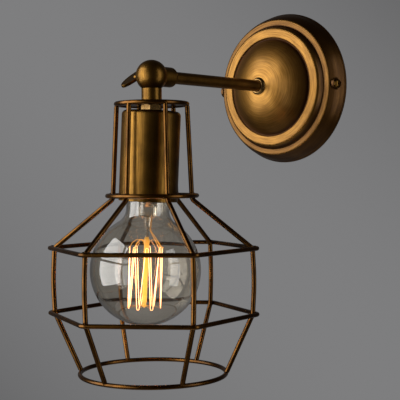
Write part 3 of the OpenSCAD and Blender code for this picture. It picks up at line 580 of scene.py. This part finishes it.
plainFinishes = {  # grain and relief in mm
    # spangled grey zinc on the strap
    "zinc_plated_steel": {
        "low": "#9da0a3", "high": "#c3c6c8", "metal": 1.0, "rough": 0.42, "grain": 2.5, "relief": 0.03,
    },
    # plain yellow brass, turned smooth
    "turned_brass": {
        "low": "#b08c3e", "high": "#d2ae60", "metal": 1.0, "rough": 0.3, "grain": 1.2, "relief": 0.02,
    },
    # off-white and glossy, as glazed porcelain and terminal blocks are
    "moulded_porcelain_white": {
        "low": "#dedbd2", "high": "#ebe9e2", "metal": 0.0, "rough": 0.3, "grain": 3, "relief": 0.03,
    },
    # brown-black resin with a slight shine
    "moulded_phenolic_black": {
        "low": "#1f1d1b", "high": "#2c2927", "metal": 0.0, "rough": 0.35, "grain": 1.5, "relief": 0.04,
    },
    # matt soft plastic
    "pvc_sheath_black": {
        "low": "#1b1a19", "high": "#272524", "metal": 0.0, "rough": 0.5, "grain": 0.8, "relief": 0.03,
    },
    # bright, slightly warm plating on rolled brass
    "nickel_plated_cap": {
        "low": "#a9a59c", "high": "#cfccc4", "metal": 1.0, "rough": 0.25, "grain": 1.8, "relief": 0.02,
    },
    # black glass cast into the cap's end
    "vitrite_black_glass": {
        "low": "#141312", "high": "#1d1b1a", "metal": 0.0, "rough": 0.12, "grain": 2, "relief": 0.01,
    },
}


def earthSheath(name, s):
    # green PVC insulation with a yellow stripe that winds round it
    material, tree = newMaterial(name)
    place = addNode(tree, "ShaderNodeTexCoord").outputs["Object"]
    stripe = addNode(
        tree,
        "ShaderNodeTexWave",
        {"Vector": place, "Scale": 1 / (s["stripe"] * mm), "Distortion": 0.4},
        bands_direction="DIAGONAL",
    ).outputs["Fac"]
    edge = addNode(
        tree, "ShaderNodeMapRange", {"Value": stripe, "From Min": 0.62, "From Max": 0.7}
    ).outputs[0]
    colour = addNode(
        tree,
        "ShaderNodeMix",
        {"Factor": edge, 6: linear(s["green"]), 7: linear(s["yellow"])},
        data_type="RGBA",
    ).outputs[mixedColour]
    grain = addNode(
        tree, "ShaderNodeTexNoise", {"Vector": place, "Scale": 1 / (s["grain"] * mm)}
    ).outputs[0]
    bump = addNode(
        tree, "ShaderNodeBump", {"Height": grain, "Strength": 0.2, "Distance": s["relief"] * mm}
    ).outputs[0]
    finishOff(tree, Base_Color=colour, Roughness=s["rough"], Normal=bump)
    return material


earthSheaths = {
    "pvc_earth_green_yellow": {
        "green": "#3f7a35", "yellow": "#cfc53a", "stripe": 12, "rough": 0.45, "grain": 0.67, "relief": 0.03,
    },
}


def bulbGlass(name, s):
    # clear soda-lime glass, faintly smoked by the filament; the coat gives its bright studio reflections
    material, tree = newMaterial(name)
    place = addNode(tree, "ShaderNodeTexCoord").outputs["Object"]
    film = addNode(
        tree, "ShaderNodeTexNoise", {"Vector": place, "Scale": 1 / (s["film"] * mm)}
    ).outputs[0]
    tint = addNode(
        tree,
        "ShaderNodeMix",
        {"Factor": film, 6: linear(s["clear"]), 7: linear(s["smoked"])},
        data_type="RGBA",
    ).outputs[mixedColour]
    finishOff(
        tree,
        Base_Color=tint,
        Roughness=0.0,
        IOR=s["ior"],
        Transmission_Weight=1.0,
        Specular_IOR_Level=1.0,
        Coat_Weight=s["coat"],
        Coat_Roughness=0.0,
        Coat_IOR=s["coatIor"],
    )
    return material


glasses = {  # film is the size of the smoked patches, mm
    # the globe, blown thin and clear
    "blown_clear_glass": {
        "clear": "#f3efe7", "smoked": "#e6e0d5", "film": 25, "ior": 1.55, "coat": 0.3, "coatIor": 1.8,
    },
    # the stem, pressed thicker, so that its edges shine more
    "pressed_stem_glass": {
        "clear": "#f4efe6", "smoked": "#e6dccb", "film": 4, "ior": 1.52, "coat": 1.0, "coatIor": 1.8,
    },
}


def glowing(name, s):
    # metal or glass that shines with its own light, brightest at the middle of its height: heat on the coil, and
    # painted light from the coil on the hooks, leads and rod
    material, tree = newMaterial(name)
    place = addNode(tree, "ShaderNodeTexCoord").outputs["Object"]
    high = addNode(tree, "ShaderNodeSeparateXYZ", {0: place}).outputs[2]
    up = addNode(
        tree,
        "ShaderNodeMapRange",
        {"Value": high, "From Min": s["foot"] * mm, "From Max": s["head"] * mm},
    ).outputs[0]
    levels = [(0.0, s["ends"]), (0.2, 1.0), (0.75, 1.0), (1.0, s["ends"])]
    glow = addNode(tree, "ShaderNodeValToRGB", {"Fac": up}, levels).outputs["Color"]
    strength = addNode(tree, "ShaderNodeMath", {0: glow, 1: s["strength"]}, operation="MULTIPLY").outputs[0]
    finishOff(
        tree,
        Base_Color=linear(s["cold"]),
        Metallic=s["metal"],
        Roughness=0.4,
        Emission_Color=linear(s["hot"]),
        Emission_Strength=strength,
    )
    return material


glows = {  # foot and head are heights in mm; ends is how bright the glow still is there
    # the coil, near white in its middle and orange towards its ends
    "white_hot_carbon_coil": {
        "cold": "#2a2420", "hot": "#ffae72", "metal": 0.0,
        "strength": 10.0, "ends": 0.4, "foot": -168, "head": -122,
    },
    # molybdenum hooks and leads that hold the coil, with the coil's light on them painted as a glow
    "support_wires_painted_coil_light": {
        "cold": "#8a7a66", "hot": "#ffa838", "metal": 1.0,
        "strength": 1.5, "ends": 0.25, "foot": -168, "head": -108,
    },
    # the glass rod in the coil's middle; its glow is the coil's yellow light, painted into the glass
    "rod_glass_painted_coil_light": {
        "cold": "#a8835a", "hot": "#ffb644", "metal": 0.0,
        "strength": 1.9, "ends": 0.15, "foot": -172, "head": -113,
    },
}

finish = {}
for make, setups in (
    (brushedBronze, bronzes),
    (plainFinish, plainFinishes),
    (earthSheath, earthSheaths),
    (bulbGlass, glasses),
    (glowing, glows),
):
    for name, setup in setups.items():
        finish[name] = make(name, setup)
print("finishes made:", len(finish))

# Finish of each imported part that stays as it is
finishOfSlot = {
    "zinc_steel": "zinc_plated_steel",
    "brass": "turned_brass",
    "white_plastic": "moulded_porcelain_white",
    "black_plastic": "moulded_phenolic_black",
    "bronze_plate": "brushed_bronze_plate",
    "bronze_fittings": "brushed_bronze_fittings",
    "bright_bronze": "rubbed_bronze_trim",
    "bronze_screws": "brushed_bronze_fittings",
    "cage_bronze": "lacquered_bronze_wire",
    "cable_sheath": "pvc_sheath_black",
    "earth_insulation": "pvc_earth_green_yellow",
    "clear_glass": "blown_clear_glass",
    "nickel_cap": "nickel_plated_cap",
    "black_glass": "vitrite_black_glass",
    # the hooks and leads carry painted light from the coil
    "support_wire": "support_wires_painted_coil_light",
    "glowing_filament": "white_hot_carbon_coil",
}
for node in nodes.values():
    for holder in node.material_slots:
        slotName = holder.material.name.split(".")[0]
        if slotName in finishOfSlot:
            holder.material = finish[finishOfSlot[slotName]]
nodes["arm_tube"].material_slots[0].material = finish["brushed_bronze_arm"]
print("packed parts finished")

# Pale round floor, far enough below that the photograph's view misses it, in m
floorSetup = {"radius": 1.4, "height": -1.6, "colour": "#cbc9c4", "rough": 0.9, "grain": 1.1, "relief": 0.2}


def makeFloor(s):
    # uncoated paper: matt, with a grain that only shows close up
    floor = begin("floor", "circle", vertices=96, radius=s["radius"], fill_type="NGON")
    bpy.ops.transform.translate(value=(0, 0, s["height"]))
    holdAlone(floor)
    material, tree = newMaterial("pale_paper_floor")
    place = addNode(tree, "ShaderNodeTexCoord").outputs["Object"]
    grain = addNode(
        tree, "ShaderNodeTexNoise", {"Vector": place, "Scale": 1 / (s["grain"] * mm)}
    ).outputs[0]
    bump = addNode(
        tree, "ShaderNodeBump", {"Height": grain, "Strength": 0.05, "Distance": s["relief"] * mm}
    ).outputs[0]
    finishOff(tree, Base_Color=linear(s["colour"]), Roughness=s["rough"], Normal=bump)
    floor.data.materials.append(material)


makeFloor(floorSetup)
print("floor laid")

# Pieces, all in mm. Heights on the wall side run out from the wall, and the lamp's run down from the ball
reach = 156  # ball's centre from the wall
fromWall = turned("X", 90)
atBall = moved(0, -reach, 0)
leanSetup = {"from": 20.9, "angle": 2.5, "toward": 222}  # bulb's lean on its tube, mm and degrees
onLamp = (
    atBall
    @ moved(0, 0, -leanSetup["from"])
    @ turned("Z", leanSetup["toward"])
    @ turned("Y", -leanSetup["angle"])
    @ turned("Z", -leanSetup["toward"])
    @ moved(0, 0, leanSetup["from"])
)

# Backplate: a spun cover, given its wall, with a seat and a well for each side screw
plateSetup = {
    "outline": [  # radius, height above the wall, corner cut
        (61.2, 0.0), (61.2, 1.4, 0.4), (60.6, 1.9, 0.3), (58.6, 8.8, 3.0), (54.9, 15.0, 1.0),
        (50.0, 15.3, 0.9), (48.3, 19.7, 1.0), (46.9, 20.8, 0.8), (40.5, 21.0, 0.7), (39.1, 19.7, 0.4),
    ],
    "domeBall": 56.7,
    "domeTop": 35.7,
    "domeFoot": 38.3,
    "hole": 4.6,
    "wall": 1.2,
    "steps": 144,
    "screwHeight": 9.3,
    "screwSeat": 57.83,  # from the axis
    "bored": [  # radius, depth, place from the seat, corners
        ("UNION", 4.8, 2.0, -0.4, 48),
        ("DIFFERENCE", 3.9, 6.0, 3.0, 48),
        ("DIFFERENCE", 2.2, 12.0, 0.0, 32),
    ],
}


def makeBackplate(s):
    middle = s["domeTop"] - s["domeBall"]
    angles = [math.degrees(math.acos(r / s["domeBall"])) for r in (s["domeFoot"], s["hole"])]
    dome = arcPoints((0, middle), s["domeBall"], *angles, 20)
    plate = spinLine("spun_backplate", s["outline"] + dome, steps=s["steps"])
    thicken(plate, s["wall"])
    for side in (1, -1):
        across = moved(0, 0, s["screwHeight"]) @ turned("Y", 90 * side)
        for operation, radius, depth, along, corners in s["bored"]:
            tool = begin("bored", "cylinder", vertices=corners, radius=radius * mm, depth=depth * mm)
            settle(tool, across @ moved(0, 0, s["screwSeat"] + along))
            carve(plate, tool, operation)
    settle(plate, fromWall, 25, evenly=True)
    fit(plate, "wall_unit", "bronze_plate", "brushed_bronze_plate", "backplate")


makeBackplate(plateSetup)
print("backplate made")

# Side screws: pan heads with a cross recess that narrows downward
screwSetup = {
    "outline": [
        (0, 2.5), (1.9, 2.42, 0.6), (3.25, 1.6, 0.6), (3.6, 0.2, 0.15), (3.5, 0.0),
        (2.0, 0.0), (2.0, -7.6, 0.3), (0, -8.0),
    ],
    "recess": (4.6, 1.15, 2.2),  # length, width and depth of one bar of the cross
    "recessTop": 2.55,
    "crossTurn": 40,
    "taper": 0.45,
}


def makeSideScrews(s):
    screw = spinLine("pan_screw", s["outline"], steps=48)
    for turn in (s["crossTurn"], s["crossTurn"] + 90):
        bar = begin("bar", "cube", size=mm)
        bpy.ops.transform.resize(value=s["recess"])
        pick(bar, lambda p: p.z < 0)
        bpy.ops.transform.resize(value=(s["taper"], s["taper"], 1))
        settle(bar, moved(0, 0, s["recessTop"]) @ turned("Z", turn))
        carve(screw, bar)
    screws = [screw, copyOf(screw, "other_pan_screw")]
    for side, one in zip((1, -1), screws):
        seat = moved(0, -plateSetup["screwHeight"], 0) @ turned("Y", 90 * side)
        settle(one, seat @ moved(0, 0, plateSetup["screwSeat"]))
    fit(joinAll("side_screws", screws), "wall_unit", "bronze_screws", "brushed_bronze_fittings", "cover_screws")


makeSideScrews(screwSetup)

# Ferrule: a turned ring with a bead round its foot
ferruleSetup = {
    "outline": [
        (4.6, 35.75), (4.6, 37.55, 0.3), (5.5, 37.7, 0.3), (6.3, 36.7, 0.5),
        (7.0, 36.0, 0.3), (7.0, 35.3, 0.2), (6.8, 35.2),
    ],
}


def makeFerrule(s):
    ferrule = spinLine("arm_ferrule_ring", s["outline"], steps=64, closed=True)
    settle(ferrule, fromWall, 40)
    fit(ferrule, "wall_unit", "bright_bronze", "rubbed_bronze_trim", "arm_ferrule")


makeFerrule(ferruleSetup)
print("screws and ferrule made")

# Thumb screw: an oval blade with a rolled edge on a waisted hub
thumbSetup = {
    "blade": (6.0, 14.0, 2.4),  # half width, half length and thickness
    "rim": 1.5,
    "dish": 0.35,
    "edge": 0.5,
    "centre": -17.5,
    "hub": [
        (0, -1.0), (2.2, -1.0), (1.9, 0.6, 0.4), (2.8, 2.2, 0.4),
        (2.8, 3.6, 0.3), (2.0, 3.9), (2.0, 12.0), (0, 12.4),
    ],
    "hubFoot": -15.0,
    "angle": 32,
}


def makeThumbScrew(s):
    halfWidth, halfLength, thick = s["blade"]
    blade = begin("thumb_screw_oval", "cylinder", vertices=64, radius=mm, depth=thick * mm)
    bpy.ops.transform.resize(value=(halfWidth, halfLength, 1))
    for side in (1, -1):
        pick(blade, lambda p: p.z * side > thick * 0.49, "FACE")
        bpy.ops.mesh.inset(thickness=s["rim"] * mm)
        bpy.ops.transform.translate(value=(0, 0, -s["dish"] * side * mm))
    pick(blade, lambda p: abs(abs(p.z) - thick / 2) < touching, "EDGE")
    bpy.ops.mesh.bevel(offset=s["edge"] * mm, segments=3, affect="EDGES")
    settle(blade, moved(s["centre"], 0, 0))
    hub = spinLine("hub", s["hub"], steps=32)
    settle(hub, moved(s["hubFoot"], 0, 0) @ turned("Y", 90))
    carve(blade, hub, "UNION")
    settle(blade, atBall @ turned("X", s["angle"]), 40, evenly=True)
    fit(blade, "thumb_screw", "bronze_fittings", "brushed_bronze_fittings", "thumb_screw")


makeThumbScrew(thumbSetup)
print("thumb screw made")

# Cage nut: a hexagon with both faces turned to a chamfer
nutSetup = {
    "across": 14.0,
    "height": 3.9,
    "bore": 5.25,
    "top": 20.9,
    "turn": 36.8,
    "chamfer": (0.9, 0.3, 0.75),  # in from the corner, past it, and down the side
}


def makeCageNut(s):
    corner = s["across"] / 2 / math.cos(math.radians(30))
    half = s["height"] / 2
    inward, past, down = s["chamfer"]
    nut = begin("cage_hexagon_nut", "cylinder", vertices=6, radius=corner * mm, depth=s["height"] * mm)
    side = [(0, half), (corner - inward, half), (corner + past, half - down)]
    rounding = spinLine("rounding", side + [(r, -z) for r, z in reversed(side)], steps=64)
    settle(rounding)
    carve(nut, rounding, "INTERSECT")
    bore = begin("bore", "cylinder", vertices=48, radius=s["bore"] * mm, depth=10 * mm)
    settle(bore)
    carve(nut, bore)
    settle(nut, atBall @ moved(0, 0, -s["top"] - half) @ turned("Z", s["turn"]), 20, evenly=True)
    fit(nut, "lamp_head", "bright_bronze", "rubbed_bronze_trim", "cage_nut")


makeCageNut(nutSetup)

# Cage: six bent uprights, two bent hexagons and the welds that hold them
cageSetup = {
    "wire": 3.5,
    "bar": 3.2,
    "turn": 6.8,
    "topRing": (25.5, -20.3),  # radius and height of each ring's bar
    "neckRing": (32.15, -86),
    "bottomRing": (52.6, -213.8),
    "line": [(28.7, -88.5), (72.0, -123.8), (73.2, -147.4), (72.0, -171.0)],
    "cuts": [1.8, 2.2, 9.0, 1.2],
    "hexagonRadius": 75.98,
    "hexagonHeights": {"upper": -123.8, "lower": -171.0},
    "hexagonCut": 2.6,
    "weldGap": 0.1,  # between a wire's end and the ring that it is welded to
    "weld": (1.5, 1.5, 2.1),
    "neckWeldIn": 1.7,
    "hexagonWeldOut": 1.75,
}


def makeCage(s):
    top, bottom = (Vector((r, 0, z)) for r, z in (s["topRing"], s["bottomRing"]))
    line = [Vector((r, 0, z)) for r, z in s["line"]]
    gap = s["bar"] / 2 + s["weldGap"]
    start = top + (line[0] - top).normalized() * gap
    end = bottom + (line[-1] - bottom).normalized() * gap
    turns = [s["turn"] + 30 + i * 60 for i in range(6)]

    wire = drawLine("bent_wire_1", [start] + line + [end])
    for point, cut in zip(line, s["cuts"]):
        roundCorner(wire, point, cut, 8)
    wire = barAlong(wire, s["wire"], 5)
    wires = [wire] + [copyOf(wire, "bent_wire_%d" % i) for i in range(2, 7)]
    for i, (wire, turn) in enumerate(zip(wires, turns)):
        settle(wire, atBall @ turned("Z", turn), 50)
        fit(wire, "lamp_head", "cage_bronze", "lacquered_bronze_wire", "cage_wire_%d" % (i + 1))

    hexagon = begin("upper_bent_hexagon", "circle", vertices=6, radius=s["hexagonRadius"] * mm)
    bpy.ops.mesh.select_all(action="SELECT")
    bpy.ops.mesh.bevel(offset=s["hexagonCut"] * mm, segments=8, affect="VERTICES")
    hexagon = barAlong(hexagon, s["bar"], 5)
    hexagons = [hexagon, copyOf(hexagon, "lower_bent_hexagon")]
    for hexagon, (level, height) in zip(hexagons, s["hexagonHeights"].items()):
        settle(hexagon, atBall @ moved(0, 0, height) @ turned("Z", s["turn"]), 50)
        fit(hexagon, "lamp_head", "cage_bronze", "lacquered_bronze_wire", "cage_" + level + "_hexagon")

    spots = [
        (start + top) / 2,
        Vector((s["neckRing"][0] - s["neckWeldIn"], 0, s["neckRing"][1])),
        (end + bottom) / 2,
    ]
    spots += [Vector((line[1].x + s["hexagonWeldOut"], 0, z)) for z in s["hexagonHeights"].values()]
    bead = begin("weld", "ico_sphere", subdivisions=2, radius=mm)
    bpy.ops.transform.resize(value=s["weld"])
    places = [(turn, spot) for turn in turns for spot in spots]
    beads = [bead] + [copyOf(bead, "weld") for _ in places[1:]]
    for bead, (turn, spot) in zip(beads, places):
        settle(bead, atBall @ turned("Z", turn) @ Matrix.Translation(spot * mm), 60)
    fit(joinAll("cage_welds", beads), "lamp_head", "cage_bronze", "lacquered_bronze_wire")


makeCage(cageSetup)
print("cage made")

# Bulb: a globe blown thin, with its neck drawn in to the cap
bulbSetup = {
    "globe": 40.0,
    "neck": 15.5,
    "centre": 139.7,  # depth of the globe's centre below the ball
    "capEnd": 86.6,
    "capRadius": 13.2,
    "lip": 5.0,  # how far the glass goes up into the cap
    "shoulderDrop": 2.1,
    "neckEnd": 44.0,
    "wall": 1.3,
    "steps": 128,
}
inGlobe = onLamp @ moved(0, 0, -bulbSetup["centre"])


def makeGlobe(s):
    top = s["centre"] - s["capEnd"]
    shoulder = top - s["shoulderDrop"]
    foot = s["neckEnd"]
    fillet = (foot**2 - s["globe"] ** 2 + s["neck"] ** 2) / 2 / (s["globe"] - s["neck"])
    side = s["neck"] + fillet
    meet = math.degrees(math.atan2(foot, side))
    outline = [
        (0, top + s["lip"]),
        (s["capRadius"] - 1.2, top + s["lip"], 0.8),
        (s["capRadius"] - 0.8, shoulder, 0.5),
        (s["neck"], shoulder - 0.8, 0.6),
    ]
    outline += arcPoints((side, foot), fillet, 181, 180 + meet, 14)
    outline += arcPoints((0, 0), s["globe"], meet - 2, -90, 48)
    globe = spinLine("blown_globe", outline, steps=s["steps"])
    thicken(globe, s["wall"])
    settle(globe, inGlobe, 80)
    fit(globe, "bulb", "clear_glass", "blown_clear_glass", "bulb_glass")


makeGlobe(bulbSetup)

# Stem: a flare and a pressed pinch with the glass rod below it, whose lower part has the coil's light painted on
# it as a glow
stemSetup = {
    "outline": [
        (0, -27.5), (1.9, -26.0, 0.7), (1.3, -24.2, 0.4), (1.7, -23.0, 0.5), (1.7, 18.2, 0.5),
        (2.5, 20.5, 1.0), (1.4, 23.0, 0.8), (1.1, 29.7, 0.4), (2.0, 31.5, 0.6), (2.2, 38.2, 0.4),
        (6.4, 39.0, 0.5), (6.6, 48.0, 2.0), (9.6, 55.0, 1.0), (11.0, 57.0), (9.8, 57.0),
        (5.8, 51.0), (5.0, 46.0), (0, 45.0),
    ],
    "pressed": (30.5, 47),  # heights between which it is pressed flat
    "pressFlat": 0.7,
    "pressTurn": 42,
    "rodTop": 24,
}


def makeStem(s):
    stem = spinLine("pressed_stem", s["outline"], steps=48)
    pick(stem, lambda p: s["pressed"][0] < p.z < s["pressed"][1])
    bpy.ops.transform.resize(value=(1, s["pressFlat"], 1))
    settle(stem, inGlobe @ turned("Z", s["pressTurn"]), 50)
    fit(stem, "bulb", "clear_glass", "pressed_stem_glass", "bulb_stem")
    # painted light: the rod's lower part glows with the coil's light
    stem.data.materials.append(finish["rod_glass_painted_coil_light"])
    below = (inGlobe @ Vector((0, 0, s["rodTop"] * mm))).z
    for face in stem.data.polygons:
        face.material_index = 1 if face.center.z < below else 0


makeStem(stemSetup)
print("glass made")

# Screw cap: rolled brass, nickel plated, with its thread as one long ridge
capSetup = {
    "outline": [
        (12.9, 0), (13.2, 0.4, 0.2), (13.2, 1.6, 0.4), (12.2, 2.6, 0.4),
        (12.2, 18.6, 1.2), (10.0, 21.3, 0.5), (8.0, 21.5),
    ],
    "wall": 0.4,
    "ridge": 2.0,  # the ridge's own diameter
    "ridgeRadius": 12.2,
    "pitch": 3.63,
    "turns": 3.6,
    "start": 4.2,
    "stepsPerTurn": 36,
}


def makeCap(s):
    cap = spinLine("rolled_screw_cap", s["outline"], steps=72)
    thicken(cap, s["wall"])
    points = []
    for i in range(int(s["turns"] * s["stepsPerTurn"]) + 1):
        a = 2 * math.pi * i / s["stepsPerTurn"]
        height = s["start"] + s["pitch"] * i / s["stepsPerTurn"]
        points.append((s["ridgeRadius"] * math.cos(a), s["ridgeRadius"] * math.sin(a), height))
    ridge = barAlong(drawLine("ridge", points), s["ridge"], 3)
    settle(ridge)
    carve(cap, ridge, "UNION")
    settle(cap, onLamp @ moved(0, 0, -bulbSetup["capEnd"]), 40)
    fit(cap, "bulb", "nickel_cap", "nickel_plated_cap", "bulb_cap")


makeCap(capSetup)
print("cap made")

# Filament: one long zig-zag round the rod, with a hook at each bend and a lead at each end
filamentSetup = {
    "strands": 14,
    "radius": 12,
    "top": 16.5,
    "low": -27.5,
    "bendHalf": 0.9,  # half the width of a bend, and the cut that rounds it
    "bendCut": 0.85,
    "first": 30,  # degrees
    "wire": 0.45,
    "hook": 0.35,
    "upperHook": [(2.3, 20.5), (4.5, 21.8), (7.5, 21.6), (10.2, 19.4), (11.6, 16.6), (12.3, 15.8), (13.0, 15.9)],
    "lowerHook": [(2.0, -26.0), (6.5, -26.2), (11.0, -26.9), (13.2, -26.85)],
    "lead": 0.45,
    "leadLine": [(3.4, 39.6), (3.2, 33.5), (2.6, 28.8), (11.5, 16.9), (12.7, 16.9)],
    "leadCut": 1.0,
}


def makeFilament(s):
    step = 2 * math.pi * s["radius"] / (s["strands"] + 1)
    corners = []
    for i in range(1, s["strands"]):
        height = s["top"] if i % 2 == 0 else s["low"]
        corners += [(i * step + side * s["bendHalf"], height) for side in (-1, 1)]
    places = []  # the same corners, wound round the rod
    for along, height in [(0, s["top"])] + corners + [(s["strands"] * step, s["top"])]:
        a = math.radians(s["first"]) + along / s["radius"]
        places.append(Vector((s["radius"] * math.cos(a), s["radius"] * math.sin(a), height)))
    coil = drawLine("filament_coil", places)
    for place in places[1:-1]:
        roundCorner(coil, place, s["bendCut"], 3)
    coil = barAlong(coil, s["wire"], 2)
    settle(coil, inGlobe, 60)
    fit(coil, "bulb", "glowing_filament", "white_hot_carbon_coil", "filament")


def bendWire(name, line, diameter, cut=None):
    # a thin wire bent in one upright plane, in mm
    wire = drawLine(name, [(r, 0, z) for r, z in line])
    if cut:
        for r, z in line[1:4]:
            roundCorner(wire, (r, 0, z), cut, 4)
    return barAlong(wire, diameter, 2)


def setRound(name, s, wires, standsFor):
    # puts (strand, wire) pairs at their strands round the rod and joins them under one name
    for strand, wire in wires:
        settle(wire, inGlobe @ turned("Z", s["first"] + strand * 360 / (s["strands"] + 1)), 60)
    # painted light: the hooks and leads glow with the coil's light
    fit(joinAll(name, [wire for _, wire in wires]), "bulb", "support_wire", "support_wires_painted_coil_light", standsFor)


def makeHooksAndLeads(s):
    hooks = []
    for first, line in ((1, "lowerHook"), (2, "upperHook")):
        hook = bendWire("hook", s[line], s["hook"])
        hooks.append((first, hook))
        hooks += [(strand, copyOf(hook, "hook")) for strand in range(first + 2, s["strands"], 2)]
    setRound("hooked_supports", s, hooks, "filament_supports")
    lead = bendWire("lead", s["leadLine"], s["lead"], s["leadCut"])
    setRound("lead_in_wires", s, [(0, lead), (s["strands"], copyOf(lead, "lead"))], "bulb_leads")


makeFilament(filamentSetup)
makeHooksAndLeads(filamentSetup)
print("filament made")
